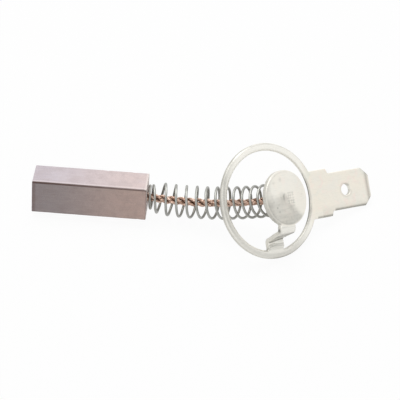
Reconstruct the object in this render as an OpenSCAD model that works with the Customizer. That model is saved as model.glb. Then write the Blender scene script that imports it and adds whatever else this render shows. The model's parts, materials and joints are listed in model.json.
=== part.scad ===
// Sprung carbon brush: a copper-graphite block, its pigtail and coil spring, and a one-piece
// terminal stamped as a ring, a push-on tab and a bent strap that holds out a disc.
// The parts are drawn in the brush's own frame: X runs along the block from its spring face at
// X = 0 towards the terminal, Y across it and Z up it. lie() then lays the whole brush down as it
// comes to rest, on one corner of the block, on the ring's rim and on one corner of the tab.

/* [Carbon block] */
// Length, from the contact face to the spring face
block_l = 18.55; // [10:0.05:30]
// Width in the brush holder
block_w = 5.55; // [5:0.05:7]
// Height in the brush holder
block_h = 5.55; // [5:0.05:7]
// Chamfer on every edge
edge_break = 0.12; // [0.05:0.01:0.3]
// Diameter of the hole that the pigtail is tamped into
socket_d = 2.2; // [1.8:0.1:2.8]
// Depth of that hole
socket_depth = 5; // [3:0.1:8]

/* [Terminal sheet] */
// Thickness of the sheet
sheet_t = 0.8; // [0.5:0.05:1]
// Depth of the rounding that the punch leaves on the front edges
edge_roll = 0.2; // [0.05:0.01:0.25]

/* [Ring] */
// Outside diameter of the ring
ring_od = 18.7; // [17.5:0.1:24]
// Width of the ring's band
ring_band = 1.25; // [1:0.01:2.2]
// Radius pressed on the ring's edges, on both faces
ring_round = 0.35; // [0.1:0.01:0.38]

/* [Push-on tab] */
// Width of the tab
tab_w = 6.3; // [4.8:0.1:7]
// Length of the tab, from the shoulders to the tip
tab_l = 8.15; // [7:0.05:10]
// Width over the shoulders
shoulder_w = 7.9; // [7.4:0.1:10]
// How far the shoulders stand out of the ring
shoulder_l = 2.95; // [2:0.05:6]
// Slope of the shoulders, measured along the tab
shoulder_slope = 0.3; // [0:0.05:0.8]
// Sideways shift of the tab from the ring's centre line
tab_shift = -0.34; // [-1:0.01:1]
// Size of the corner cuts at the tip
tip_corner = 1.45; // [0.6:0.05:2]
// Length of the bevel pressed across the tip
bevel_l = 0.65; // [0.2:0.05:1]
// Depth of that bevel on each face
bevel_t = 0.2; // [0.05:0.01:0.22]
// Diameter of the locking hole
tab_hole_d = 1.9; // [1.5:0.1:2.4]
// Distance from the shoulders to the locking hole
tab_hole_at = 3.1; // [2:0.05:4.5]

/* [Strap and disc] */
// Width of the strap between the ring and the disc
strap_w = 3.15; // [2:0.05:5]
// Sideways shift of the strap from the ring's centre line
strap_shift = -0.38; // [-1.5:0.01:1.5]
// Flat length of the strap inside the ring, before its first bend
strap_foot = 1.45; // [0.3:0.05:1.6]
// Flat length of the strap outside the disc, after its last bend
strap_neck = 0.15; // [0:0.05:0.8]
// Angle by which the first bend runs askew across the strap
bend_skew = 8; // [0:0.5:12]
// Radius of the first bend, at the middle of the sheet
foot_bend_r = 0.6; // [0.52:0.01:1]
// Radius of the second bend, at the middle of the sheet
disc_bend_r = 0.8; // [0.6:0.05:1.6]
// Diameter of the disc
disc_d = 9; // [7:0.1:10]
// Height of the disc in front of the ring
disc_rise = 4.2; // [3.5:0.1:6]
// Sideways shift of the disc from the ring's centre line
disc_shift = 0.22; // [-1:0.01:1]
// Angle that the strap twists the disc out of line with the ring
disc_turn = 12; // [0:0.5:15]

/* [Spring] */
// Diameter of the spring wire
wire_d = 0.45; // [0.3:0.01:0.6]
// Outside diameter of the spring
spring_od = 5.45; // [4.6:0.01:6]
// Outside diameter of the drawn-in first coil, on the block
first_coil_od = 4.1; // [3.6:0.1:4.6]
// Turns over which the spring opens to its full diameter
opening_turns = 1.4; // [0.5:0.1:3]
// Number of turns in all
turns = 15.2; // [10:0.1:18]
// Turns that lie closed at each end
closed_turns = 1.2; // [0.5:0.1:2]
// Angle of the wire's end on the block
start_angle = 268; // [0:1:359]
// How much wider the coils are spaced on the block's side of the middle
coil_crowding = 0.02; // [-0.2:0.01:0.3]
// How firmly the relaxed spring keeps straight on as it leaves the block
spring_straight = 1.1; // [0.8:0.01:1.2]
// Sideways drift of the spring as it leaves the block
spring_drift = 0.5; // [-2:0.1:2]
// Droop of the spring as it leaves the block
spring_sag = -3.1; // [-4:0.1:4]
// How strongly the spring bends round to meet the disc squarely
spring_bend = 1; // [0.8:0.05:1.6]

/* [Pigtail] */
// Diameter over the three twisted strands
pigtail_d = 1.2; // [0.9:0.05:1.4]
// Length of one full twist of the strands
lay_length = 3.9; // [3:0.1:6]
// Length of the pigtail inside the tamped hole
root_l = 4; // [2:0.1:6]
// Diameter of the welded end on the disc
weld_d = 2; // [1.6:0.1:3]
// Height of the welded end
weld_h = 0.45; // [0.3:0.05:0.8]

/* [How the terminal sits on the relaxed spring] */
// From the spring face to the back of the disc, along the block
reach = 21.9; // [20:0.01:30]
// From the block's centre line to the back of the disc, across the block
reach_side = -4.88; // [-8:0.01:0]
// From the block's centre line to the back of the disc, up the block
reach_up = 4.43; // [1.5:0.01:8]
// Heading of the terminal's face, seen from above the block
face_heading = -48.2; // [-60:0.1:-40]
// Lean of the terminal's face away from straight up
face_lean = 58.1; // [50:0.1:65]
// Turn of the tab round the ring
tab_turn = 81.8; // [75:0.1:90]

/* [Hidden] */
$fn = 64;

// Clearance between pieces that rest on each other
seat_gap = 0.02;
// Clearance of the strands in the tamped fill
root_gap = 0.03;
// How far joined shapes run into each other
weld_in = 0.5;
// How much thinner each face of the sheet gets where it is bent
bend_thinning = 0.015;
// How far a cutter runs past what it cuts
over = 1;
// Rings of the swept wire for each turn, and sides of each ring
wire_steps = 20;
wire_sides = 8;
// Rings of each strand for each twist, and sides of each ring
strand_steps = 12;
strand_sides = 6;
strands = 3;
// Share of the spring, at each end, over which its coils turn square to what they sit on
square_share = 0.1;

ring_r = ring_od / 2;
ring_in = ring_r - ring_band;
ring_edge = min(ring_round, 0.45 * sheet_t);
disc_r = disc_d / 2;
shoulder_at = ring_r + shoulder_l;
tip_at = shoulder_at + tab_l;
hole_at = shoulder_at + tab_hole_at;
strand_d = pigtail_d / (1 + 1 / sin(180 / strands));
lay_r = (pigtail_d - strand_d) / 2;
coil_r = (spring_od - wire_d) / 2;
first_coil_r = (first_coil_od - wire_d) / 2;

function unit(v) = v / norm(v);
function mix(a, b, share) = a * (1 - share) + b * share;
function ease(t) = let (s = min(1, max(0, t))) s * s * (3 - 2 * s);
function about_x(a, v) = [v.x, v.y * cos(a) - v.z * sin(a), v.y * sin(a) + v.z * cos(a)];
function about_y(a, v) = [v.x * cos(a) + v.z * sin(a), v.y, v.z * cos(a) - v.x * sin(a)];
function about_z(a, v) = [v.x * cos(a) - v.y * sin(a), v.x * sin(a) + v.y * cos(a), v.z];

// Where the terminal is. Its own frame has X along the tab, Y across it and Z out of its face.
function faced(v) = about_z(face_heading, about_y(face_lean, about_z(tab_turn, v)));
disc_seat = [reach, reach_side, reach_up];
disc_out = faced(about_y(disc_turn, [0, 0, 1]));
disc_centre = disc_seat + disc_out * sheet_t / 2;
ring_centre = disc_centre - faced([disc_shift, 0, disc_rise]);
ring_out = faced([0, 0, 1]);

// How the brush lies. Each of its three feet is the lowest point of the block, ring or tab.
function block_corners() = let (l = block_l, w = block_w / 2, h = block_h / 2, e = edge_break)
    [for (x = [[0, e], [e, 0]], end = [0, 1], y = [-1, 1], z = [-1, 1])
        each [[end ? -l + x[0] : -x[0], y * (w - x[1]), z * (h - e)],
              [end ? -l + x[0] : -x[0], y * (w - e), z * (h - x[1])]]];
function tab_corners() = [for (side = [-1, 1], face = [-1, 1], p = [[tip_at - tip_corner, tab_w / 2, sheet_t / 2],
    [tip_at - bevel_l, tab_w / 2 - tip_corner, sheet_t / 2], [tip_at, tab_w / 2 - tip_corner, sheet_t / 2 - bevel_t]])
        ring_centre + faced([p.x, tab_shift + side * p.y, face * p.z])];
function lowest(points, up) = let (heights = points * up, low = min(heights))
    [for (i = [0 : len(points) - 1]) if (heights[i] == low) points[i]][0];
function ring_foot(up) = let (face = ring_out * up)
    ring_centre - ring_r * unit(up - face * ring_out) - sign(face) * ring_out * sheet_t / 2;
function standing_up(a, b, c) = let (n = unit(cross(b - a, c - a))) n.z < 0 ? -n : n;
function settled(up, tries) = tries == 0 ? up : settled(standing_up(
    lowest(block_corners(), up), ring_foot(up), lowest(tab_corners(), up)), tries - 1);
up = settled(unit([0.1, -0.25, 1]), 8);
roll = atan2(up.y, up.z);
pitch = -atan2(up.x, norm([up.y, up.z]));

// The lying brush is centred over the origin by the block, the ring and the tab
function farthest(way) = max(concat(block_corners() * way, tab_corners() * way, [ring_centre * way
    + ring_r * sqrt(1 - pow(ring_out * way, 2)) + abs(ring_out * way) * sheet_t / 2]));
along = about_x(-roll, about_y(-pitch, [1, 0, 0]));
across = about_x(-roll, about_y(-pitch, [0, 1, 0]));
middle = [farthest(along) - farthest(-along), farthest(across) - farthest(-across)] / 2;

module lie() {
    translate([-middle.x, -middle.y, farthest(-up)]) rotate([roll, pitch, 0]) children();
}

module at_terminal() {
    translate(ring_centre) rotate([0, face_lean, face_heading]) rotate([0, 0, tab_turn]) children();
}

// Curve from one point and heading to another, with t from 0 to 1
function curve(t, a, a_way, b, b_way) = let (s = t * t, c = s * t)
    (2 * c - 3 * s + 1) * a + (c - 2 * s + t) * a_way + (3 * s - 2 * c) * b + (c - s) * b_way;
function curve_way(t, a, a_way, b, b_way) = let (s = t * t)
    unit(6 * (s - t) * a + (3 * s - 4 * t + 1) * a_way + 6 * (t - s) * b + (3 * s - 2 * t) * b_way);

// Closed solid through rings of points that go round the same way
module skin(rings) {
    sides = len(rings[0]);
    last = (len(rings) - 1) * sides;
    walls = [for (i = [0 : len(rings) - 2], j = [0 : sides - 1])
        let (a = i * sides + j, b = i * sides + (j + 1) % sides)
            each [[a, b, b + sides], [a, b + sides, a + sides]]];
    polyhedron([for (ring = rings) each ring],
        concat(walls, [[for (j = [sides - 1 : -1 : 0]) j], [for (j = [0 : sides - 1]) last + j]]));
}

// Ring of points round a wire that runs along way, with its first point to the side out
function wire_ring(centre, way, out, r, sides) = let (x = unit(out - (out * way) * way), y = cross(way, x))
    [for (j = [0 : sides - 1]) let (a = -360 * j / sides) centre + r * (cos(a) * x + sin(a) * y)];

// Rectangle with its corners cut at 45 degrees
module cut_corners(w, h, cut) {
    x = w / 2;
    y = h / 2;
    polygon([[cut - x, -y], [x - cut, -y], [x, cut - y], [x, y - cut],
        [x - cut, y], [cut - x, y], [-x, y - cut], [-x, cut - y]]);
}

// Hole with a drilled point, opening at X = 0 and running back into the block
module socket(d, depth) {
    rotate([0, -90, 0]) rotate_extrude()
        polygon([[0, -edge_break], [d / 2, -edge_break], [d / 2, depth], [0, depth + d * 0.3]]);
}

module carbon_block() {
    color([0.62, 0.55, 0.55]) lie() difference() {
        translate([-block_l / 2, 0, 0]) intersection() {
            rotate([0, 90, 0]) linear_extrude(block_l + over, center = true)
                cut_corners(block_h, block_w, edge_break);
            rotate([90, 0, 0]) linear_extrude(block_w + over, center = true)
                cut_corners(block_l, block_h, edge_break);
            linear_extrude(block_h + over, center = true) cut_corners(block_l, block_w, edge_break);
        }
        socket(socket_d, socket_depth);
    }
}

module contact_fill() {
    color([0.55, 0.33, 0.24]) lie() difference() {
        intersection() {
            socket(socket_d, socket_depth);
            translate([-block_l - edge_break, -block_w / 2, -block_h / 2]) cube([block_l, block_w, block_h]);
        }
        translate([-root_l - root_gap, 0, 0]) rotate([0, 90, 0])
            cylinder(d = pigtail_d + 2 * root_gap, h = root_l + over);
    }
}

// The spring and the pigtail leave the block straight and bend round to meet the disc squarely
leaving = [spring_straight * reach, spring_drift, spring_sag];
meeting = spring_bend * reach * disc_out;

pigtail_end = disc_seat - disc_out * (weld_h / 2);
function pigtail_at(s) = s < 0 ? [s, 0, 0] : curve(s / reach, [0, 0, 0], leaving, pigtail_end, meeting);
function pigtail_way(s) = s < 0 ? [1, 0, 0] : curve_way(s / reach, [0, 0, 0], leaving, pigtail_end, meeting);
function strand_out(s, k) = let (way = pigtail_way(s), a = 360 * (s / lay_length + k / strands),
    side = unit(cross([0, 0, 1], way))) -sin(a) * side + cos(a) * cross(way, side);
function strand_at(s, k) = pigtail_at(s) + lay_r * strand_out(s, k);

module pigtail() {
    steps = ceil((root_l + reach) / lay_length * strand_steps);
    step = (root_l + reach) / steps;
    color([0.78, 0.45, 0.3]) lie() {
        for (k = [0 : strands - 1]) skin([for (i = [0 : steps])
            let (s = i * step - root_l, back = strand_at(max(-root_l, s - step / 4), k),
                ahead = strand_at(min(reach, s + step / 4), k))
                wire_ring(strand_at(s, k), unit(ahead - back), strand_out(s, k), strand_d / 2, strand_sides)]);
        skin([for (h = [weld_h, 0]) wire_ring(disc_seat - disc_out * (h + seat_gap), disc_out, [0, 0, 1],
            weld_d / 2, 2 * wire_sides)]);
    }
}

// The spring's centre line, from the first coil's centre to the last one's
spring_from = [wire_d / 2 + seat_gap, 0, 0];
spring_to = disc_seat - disc_out * (wire_d / 2 + seat_gap);
closed_pitch = wire_d + seat_gap;
closed_share = closed_turns * closed_pitch / reach;
function coil_share(turn) = turn < closed_turns ? turn * closed_pitch / reach
    : turn > turns - closed_turns ? 1 - (turns - turn) * closed_pitch / reach
    : let (open = (turn - closed_turns) / (turns - 2 * closed_turns))
        mix(closed_share, 1 - closed_share, open * (1 + coil_crowding - coil_crowding * open));
function coil_way(t) = let (way = curve_way(t, spring_from, leaving, spring_to, meeting))
    unit(t < 0.5 ? mix([1, 0, 0], way, ease(t / square_share)) : mix(disc_out, way, ease((1 - t) / square_share)));
function coil_out(turn) = let (way = coil_way(coil_share(turn)), side = unit(cross([0, 0, 1], way)),
    a = start_angle + 360 * turn) -sin(a) * side + cos(a) * cross(way, side);
function coil_at(turn) = curve(coil_share(turn), spring_from, leaving, spring_to, meeting)
    + mix(first_coil_r, coil_r, ease((turn - 0.75) / opening_turns)) * coil_out(turn);

module coil_spring() {
    steps = turns * wire_steps;
    color([0.6, 0.61, 0.6]) lie() skin([for (i = [0 : steps])
        let (turn = i / wire_steps, back = coil_at(max(0, turn - 0.01)), ahead = coil_at(min(turns, turn + 0.01)))
            wire_ring(coil_at(turn), unit(ahead - back), coil_out(turn), wire_d / 2, wire_sides)]);
}

// Quarter turn of an edge's rounding, from the angle first
function rounded(centre, r, first) = r > 0
    ? [for (a = [0 : 22.5 : 90]) centre + r * [cos(first + a), sin(first + a)]] : [centre];

// Round blank, hollow if it has an inner radius, with its edges rounded on the front and the back
module stamped_round(r, inner = 0, front = edge_roll, back = 0) {
    t = sheet_t / 2;
    outside = concat(rounded([r - back, back - t], back, -90), rounded([r - front, t - front], front, 0));
    inside = concat(rounded([inner + front, t - front], front, 90), rounded([inner + back, back - t], back, 180));
    rotate_extrude($fn = 96) polygon(concat(outside, inner > 0 ? inside : [[0, t], [0, -t]]));
}

// Flat plate of a convex outline, with its front edge rounded by the punch
module stamped_plate(outline) {
    hull() {
        translate([0, 0, -sheet_t / 2]) linear_extrude(sheet_t - edge_roll) polygon(outline);
        for (a = [22.5 : 22.5 : 90]) translate([0, 0, sheet_t / 2 - edge_roll]) linear_extrude(edge_roll * sin(a))
            offset(delta = edge_roll * (cos(a) - 1)) polygon(outline);
    }
}

// Wedges that bevel both faces along an edge through the origin that runs along Y
module bevel_cutter(length, run) {
    for (face = [0, 1]) mirror([0, 0, face]) rotate([90, 0, 0]) linear_extrude(length, center = true)
        polygon([[over, sheet_t / 2 - bevel_t * (1 + over / run)], [over, sheet_t], [-run, sheet_t],
            [-run, sheet_t / 2]]);
}

module tab() {
    s = shoulder_w / 2;
    w = tab_w / 2;
    difference() {
        translate([0, tab_shift, 0]) {
            stamped_plate([[0, -s], [shoulder_at - shoulder_slope, -s], [shoulder_at, -w],
                [shoulder_at, w], [shoulder_at - shoulder_slope, s], [0, s]]);
            stamped_plate([[0, -w], [tip_at - tip_corner, -w], [tip_at, tip_corner - w],
                [tip_at, w - tip_corner], [tip_at - tip_corner, w], [0, w]]);
        }
        cylinder(r = ring_r - ring_band / 2, h = sheet_t + over, center = true);
        translate([hole_at, tab_shift, 0]) cylinder(d = tab_hole_d, h = sheet_t + over, center = true);
        translate([tip_at, tab_shift, 0]) bevel_cutter(tab_w + over, bevel_l);
    }
}

// Side view of the strap's centre line: a flat foot, a bend, a steep slope, a bend and a flat neck.
// Each point is how far it is along Y, how high it is and how steeply the strap climbs there.
strap_rise = disc_rise + (disc_shift - strap_shift) * tan(disc_turn);
strap_end = -sqrt(disc_r * disc_r - pow(strap_shift - disc_shift, 2)) - strap_neck;
strap_start = strap_foot - ring_in;
strap_run = strap_end - strap_start;
bends_r = foot_bend_r + disc_bend_r;
strap_slope = atan2(strap_rise - bends_r, strap_run)
    + asin(bends_r / norm([strap_run, strap_rise - bends_r]));
strap_bend = [for (i = [0 : 8]) strap_slope * i / 8];
strap_line = concat([[-ring_in - weld_in, 0, 0]],
    [for (a = strap_bend) [strap_start + foot_bend_r * sin(a), foot_bend_r * (1 - cos(a)), a]],
    [for (i = [8 : -1 : 0]) let (a = strap_bend[i])
        [strap_end - disc_bend_r * sin(a), strap_rise - disc_bend_r * (1 - cos(a)), a]],
    [[strap_end + strap_neck + weld_in, strap_rise, 0]]);

// Section of the strap at one of those points. It twists with the height until it lies in the disc.
function strap_section(p) = let (risen = p[1] / strap_rise, askew = p[0] < -ring_in ? 0 : tan(bend_skew) * (1 - risen),
    across = about_y(disc_turn * risen, [1, askew, 0]), front = unit(cross(across, [0, cos(p[2]), sin(p[2])])),
    w = strap_w / 2, t = sheet_t / 2 - bend_thinning, e = edge_roll)
    [for (c = concat([[w, -t]], rounded([w - e, t - e], e, 0), rounded([e - w, t - e], e, 90), [[-w, -t]]))
        [strap_shift, p[0], p[1]] + c[0] * across + c[1] * front];

module terminal() {
    color([0.86, 0.85, 0.8]) lie() at_terminal() {
        stamped_round(ring_r, ring_in, ring_edge, ring_edge);
        tab();
        skin([for (p = strap_line) strap_section(p)]);
        translate([disc_shift, 0, disc_rise]) rotate([0, disc_turn, 0]) stamped_round(disc_r);
    }
}

carbon_block();
contact_fill();
pigtail();
coil_spring();
terminal();
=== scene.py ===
import json
import math

import bpy
import numpy as np
from mathutils import Matrix


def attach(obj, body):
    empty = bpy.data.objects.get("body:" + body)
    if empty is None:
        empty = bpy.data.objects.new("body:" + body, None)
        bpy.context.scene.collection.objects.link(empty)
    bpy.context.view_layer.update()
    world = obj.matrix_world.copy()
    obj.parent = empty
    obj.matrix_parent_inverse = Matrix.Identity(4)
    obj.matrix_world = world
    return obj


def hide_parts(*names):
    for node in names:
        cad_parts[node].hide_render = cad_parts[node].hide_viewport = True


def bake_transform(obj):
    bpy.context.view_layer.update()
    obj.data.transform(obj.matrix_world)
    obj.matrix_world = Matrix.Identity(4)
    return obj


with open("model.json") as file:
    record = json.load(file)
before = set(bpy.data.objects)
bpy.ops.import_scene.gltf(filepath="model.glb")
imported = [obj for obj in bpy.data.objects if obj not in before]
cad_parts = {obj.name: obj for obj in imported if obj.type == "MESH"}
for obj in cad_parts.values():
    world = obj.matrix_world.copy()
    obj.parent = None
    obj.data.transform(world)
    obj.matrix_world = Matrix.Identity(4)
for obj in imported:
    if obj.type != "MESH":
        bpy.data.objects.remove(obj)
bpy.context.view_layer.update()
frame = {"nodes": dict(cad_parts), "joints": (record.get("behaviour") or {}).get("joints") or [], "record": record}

mm = 0.001


# Everything below is in millimetres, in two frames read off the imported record:
# the terminal's and the block's.
def unit(v):
    v = np.asarray(v, float)
    return v / np.linalg.norm(v, axis=-1, keepdims=True)


def turned(axis, degrees):
    return np.array(Matrix.Rotation(math.radians(degrees), 3, axis))


class Place:  # a part's own frame: millimetres inside, metres in the row frame outside
    def __init__(self, origin, axes):
        self.origin = np.array(origin, float)
        self.axes = np.array(axes, float)

    def out(self, points):
        return self.origin + np.asarray(points, float) @ self.axes * mm

    def way(self, v):
        return np.asarray(v, float) @ self.axes

    def into(self, points):
        return (np.asarray(points, float) - self.origin) @ self.axes.T / mm


mounts = {m["name"]: m for m in frame["record"]["mounts"]}

terminalSizes = {
    "sheet": 0.8,
    "ringOuter": 9.35,
    "ringInner": 8.1,
    "holeAt": 15.4,  # from the ring's centre to the tab's hole
    "holeRadius": 0.95,
    "tabShift": -0.34,
    "tabTip": 20.45,
    "tabHalf": 3.15,
    "shoulderAt": 12.3,
    "shoulderHalf": 3.95,
    "strapShift": -0.38,
    "strapHalf": 1.575,
    "discRise": 4.2,
    "discShift": 0.22,
    "discTurn": 12,
    "discRadius": 4.5,
    "heading": -48.2,  # how the terminal hangs on the relaxed spring
    "lean": 58.1,
    "tabTurn": 81.8,
}
ts = terminalSizes

faceOut = unit(mounts["tab_hole"]["axis"])
tabWay = unit(mounts["push_on_tab"]["axis"])
tabSide = unit(np.cross(faceOut, tabWay))
terminalAxes = np.array([tabWay, tabSide, faceOut])
ringCentre = np.array(mounts["tab_hole"]["pos_m"]) - (ts["holeAt"] * tabWay + ts["tabShift"] * tabSide) * mm
terminal = Place(ringCentre, terminalAxes)

blockSizes = {"length": 18.55, "side": 5.55, "edge": 0.12, "socket": 1.1, "socketDepth": 5.0}
bs = blockSizes

hung = turned("Z", ts["heading"]) @ turned("Y", ts["lean"]) @ turned("Z", ts["tabTurn"])
blockAxes = hung @ terminalAxes
blockAxes[0] = unit(frame["joints"][0]["axis"])
springFace = np.array(mounts["contact_face"]["pos_m"]) + bs["length"] * mm * blockAxes[0]
brush = Place(springFace, blockAxes)

discOut = hung @ turned("Y", ts["discTurn"]) @ np.array([0, 0, 1.0])  # in the brush's frame
discCentre = brush.into(terminal.out([ts["discShift"], 0, ts["discRise"]]))
discSeat = discCentre - discOut * ts["sheet"] / 2
print("frames: ring centre", ringCentre.round(5), "disc seat", discSeat.round(3))


def makePiece(name, points, faces, smooth=True):
    mesh = bpy.data.meshes.new(name)
    mesh.from_pydata(np.asarray(points).tolist(), [], faces)
    mesh.polygons.foreach_set("use_smooth", np.full(len(mesh.polygons), smooth))
    mesh.update()
    piece = bpy.data.objects.new(name, mesh)
    bpy.context.scene.collection.objects.link(piece)
    return piece


def addNumbers(piece, name, values):
    layer = piece.data.attributes.new(name, "FLOAT", "POINT")
    layer.data.foreach_set("value", np.asarray(values, np.float32))


def ripples(points, wavelength, seed, waves=20):  # smooth random field, about -1 to 1
    rng = np.random.default_rng(seed)
    ways = unit(rng.normal(size=(waves, 3))) * (2 * math.pi / wavelength) * rng.uniform(0.6, 1.5, (waves, 1))
    phases = rng.uniform(0, 2 * math.pi, waves)
    return np.sin(np.asarray(points) @ ways.T + phases).sum(1) / math.sqrt(waves / 2) / 1.6


def ease(t):
    s = np.clip(t, 0, 1)
    return s * s * (3 - 2 * s)


def within(x, low, high, soft):  # 1 between low and high, easing to 0 over soft outside
    return ease((x - low + soft) / soft) * ease((high + soft - x) / soft)


def sweptRings(centres, outs, radii, sides):  # rings of points round a wire
    centres = np.asarray(centres)
    ways = unit(np.gradient(centres, axis=0))
    outs = unit(outs - (outs * ways).sum(1, keepdims=True) * ways)
    across = np.cross(ways, outs)
    angles = 2 * math.pi * np.arange(sides) / sides
    radii = np.broadcast_to(np.asarray(radii, float), len(centres))[:, None, None]
    cos, sin = np.cos(angles)[None, :, None], np.sin(angles)[None, :, None]
    return centres[:, None] + radii * (cos * outs[:, None] + sin * across[:, None])


def skinned(rings, start=0):  # the faces between the rings, closed at both ends
    count, sides = len(rings), len(rings[0])
    faces = []
    for i in range(count - 1):
        a = start + i * sides
        b = a + sides
        faces += [(a + j, a + (j + 1) % sides, b + (j + 1) % sides, b + j) for j in range(sides)]
    faces.append(tuple(start + j for j in range(sides - 1, -1, -1)))
    faces.append(tuple(start + (count - 1) * sides + j for j in range(sides)))
    return faces


class Signal:  # one output of a node; arithmetic on signals adds Math nodes
    def __init__(self, finish, socket):
        self.finish, self.socket = finish, socket

    def sum(self, operation, first, second):
        return self.finish.node("ShaderNodeMath", {"operation": operation}, {0: first, 1: second})

    def __add__(self, other):
        return self.sum("ADD", self, other)

    def __radd__(self, other):
        return self.sum("ADD", other, self)

    def __sub__(self, other):
        return self.sum("SUBTRACT", self, other)

    def __rsub__(self, other):
        return self.sum("SUBTRACT", other, self)

    def __mul__(self, other):
        return self.sum("MULTIPLY", self, other)

    def __rmul__(self, other):
        return self.sum("MULTIPLY", other, self)


class Wiring:  # builds one node tree
    def __init__(self, tree):
        self.tree = tree

    def node(self, kind, settings=None, sockets=None, out=0):
        made = self.tree.nodes.new(kind)
        for name, value in (settings or {}).items():
            setattr(made, name, value)
        for key, value in (sockets or {}).items():
            if isinstance(value, Signal):
                self.tree.links.new(value.socket, made.inputs[key])
            else:
                made.inputs[key].default_value = value
        return Signal(self, made.outputs[out])

    def link(self, signal, socket):
        self.tree.links.new(signal.socket, socket)

    def larger(self, first, second):
        return self.node("ShaderNodeMath", {"operation": "MAXIMUM"}, {0: first, 1: second})

    def ramp(self, signal, low, high, to=(0.0, 1.0)):  # low..high eased to to[0]..to[1]
        sockets = {"Value": signal, "From Min": low, "From Max": high, "To Min": to[0], "To Max": to[1]}
        return self.node("ShaderNodeMapRange", {"interpolation_type": "SMOOTHSTEP"}, sockets)

    def seenBy(self):  # 1 for rays from the camera; 1 for rays off a mirror or through glass
        camera, glossy, glass = (self.node("ShaderNodeLightPath", out=name)
                                 for name in ("Is Camera Ray", "Is Glossy Ray", "Is Transmission Ray"))
        return camera, self.larger(glossy, glass)


class Finish(Wiring):  # a material
    def __init__(self, name, **plain):
        self.material = bpy.data.materials.new(name)
        self.material.use_nodes = True
        super().__init__(self.material.node_tree)
        self.shader = self.tree.nodes["Principled BSDF"]
        for socket, value in plain.items():
            self.shader.inputs[socket.replace("_", " ")].default_value = value
        inMetres = self.node("ShaderNodeTexCoord", out="Object")
        self.place = self.node("ShaderNodeVectorMath", {"operation": "SCALE"}, {0: inMetres, "Scale": 1 / mm})

    def feed(self, **inputs):
        for name, signal in inputs.items():
            self.link(signal, self.shader.inputs[name.replace("_", " ")])

    def colour(self, share, first, second, how="MIX"):
        settings = {"data_type": "RGBA", "blend_type": how}
        return self.node("ShaderNodeMix", settings, {0: share, 6: first, 7: second}, out=2)

    def noise(self, scale, detail=2.0, roughness=0.5, place=None, distortion=0.0):
        sockets = {"Vector": place or self.place, "Scale": scale, "Detail": detail}
        sockets.update({"Roughness": roughness, "Distortion": distortion})
        return self.node("ShaderNodeTexNoise", None, sockets)

    def cells(self, scale):
        return self.node("ShaderNodeTexVoronoi", None, {"Vector": self.place, "Scale": scale})

    def number(self, name):  # a number stored on the mesh's points
        return self.node("ShaderNodeAttribute", {"attribute_name": name}, out="Fac")

    def along(self, place):  # a part's own frame, in millimetres: three signals
        origin = tuple(place.origin / mm)
        moved = self.node("ShaderNodeVectorMath", {"operation": "SUBTRACT"}, {0: self.place, 1: origin})
        dot = {"operation": "DOT_PRODUCT"}
        return [self.node("ShaderNodeVectorMath", dot, {0: moved, 1: tuple(axis)}, out="Value")
                for axis in place.axes]

    def joined(self, x, y, z):
        return self.node("ShaderNodeCombineXYZ", None, {0: x, 1: y, 2: z})

    def bump(self, height, distance, strength):  # distance in millimetres
        sockets = {"Height": height, "Distance": distance * mm, "Strength": strength}
        return self.node("ShaderNodeBump", None, sockets)

    def put(self, piece):
        piece.data.materials.clear()
        piece.data.materials.append(self.material)


cameraLook = {
    "azimuth": 1.422,
    "elevation": 43.779,
    "roll": 4.339,
    "distance": 400.16,  # from the ring's centre, in millimetres
    "lens": 224.3,
    "sensor": 36,
    "aim": (-10.996, 0.136),  # right of and above the ring's centre, in millimetres
}


def facing(right, up, back, at):  # the matrix of something at a place that looks away from back
    rows = np.array([right, up, back]).T
    return Matrix([[*row, at[i]] for i, row in enumerate(rows)] + [[0, 0, 0, 1]])


def makeCamera(look):
    a, e = math.radians(look["azimuth"]), math.radians(look["elevation"])
    back = np.array([math.sin(a) * math.cos(e), -math.cos(a) * math.cos(e), math.sin(e)])
    level = np.array([math.cos(a), math.sin(a), 0])
    rise = np.cross(back, level)
    r = math.radians(look["roll"])
    right = math.cos(r) * level + math.sin(r) * rise
    up = np.cross(back, right)
    data = bpy.data.cameras.new("mainCamera")
    data.lens = look["lens"]
    data.sensor_width = look["sensor"]
    data.clip_start = 0.01
    camera = bpy.data.objects.new("mainCamera", data)
    bpy.context.scene.collection.objects.link(camera)
    at = ringCentre + (look["aim"][0] * right + look["aim"][1] * up + look["distance"] * back) * mm
    camera.matrix_world = facing(right, up, back, at)
    bpy.context.scene.camera = camera


lightLook = {
    "skyForDiffuse": 0.30,  # the sky's strength for what isn't seen or mirrored
    "keyPower": 2.6,
    "keySize": 0.5,
    "keyAt": (-0.08, 0.16, 0.55),
    "fillPower": 0.35,
    "fillSize": 0.4,
    "fillAt": (0.15, -0.6, 0.35),
    "floorHalf": 1.5,  # lamps and floor are in metres
    "floorColour": (0.9, 0.9, 0.9, 1),
    "floorShadow": 0.055,  # share of the floor's own shading that the camera sees
}


def makeLamp(name, power, size, at):
    data = bpy.data.lights.new(name, "AREA")
    data.energy = power
    data.size = size
    lamp = bpy.data.objects.new(name, data)
    bpy.context.scene.collection.objects.link(lamp)
    back = unit(at)
    side = unit(np.cross([0, 0, 1], back))
    lamp.matrix_world = facing(side, np.cross(back, side), back, at)


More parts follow.
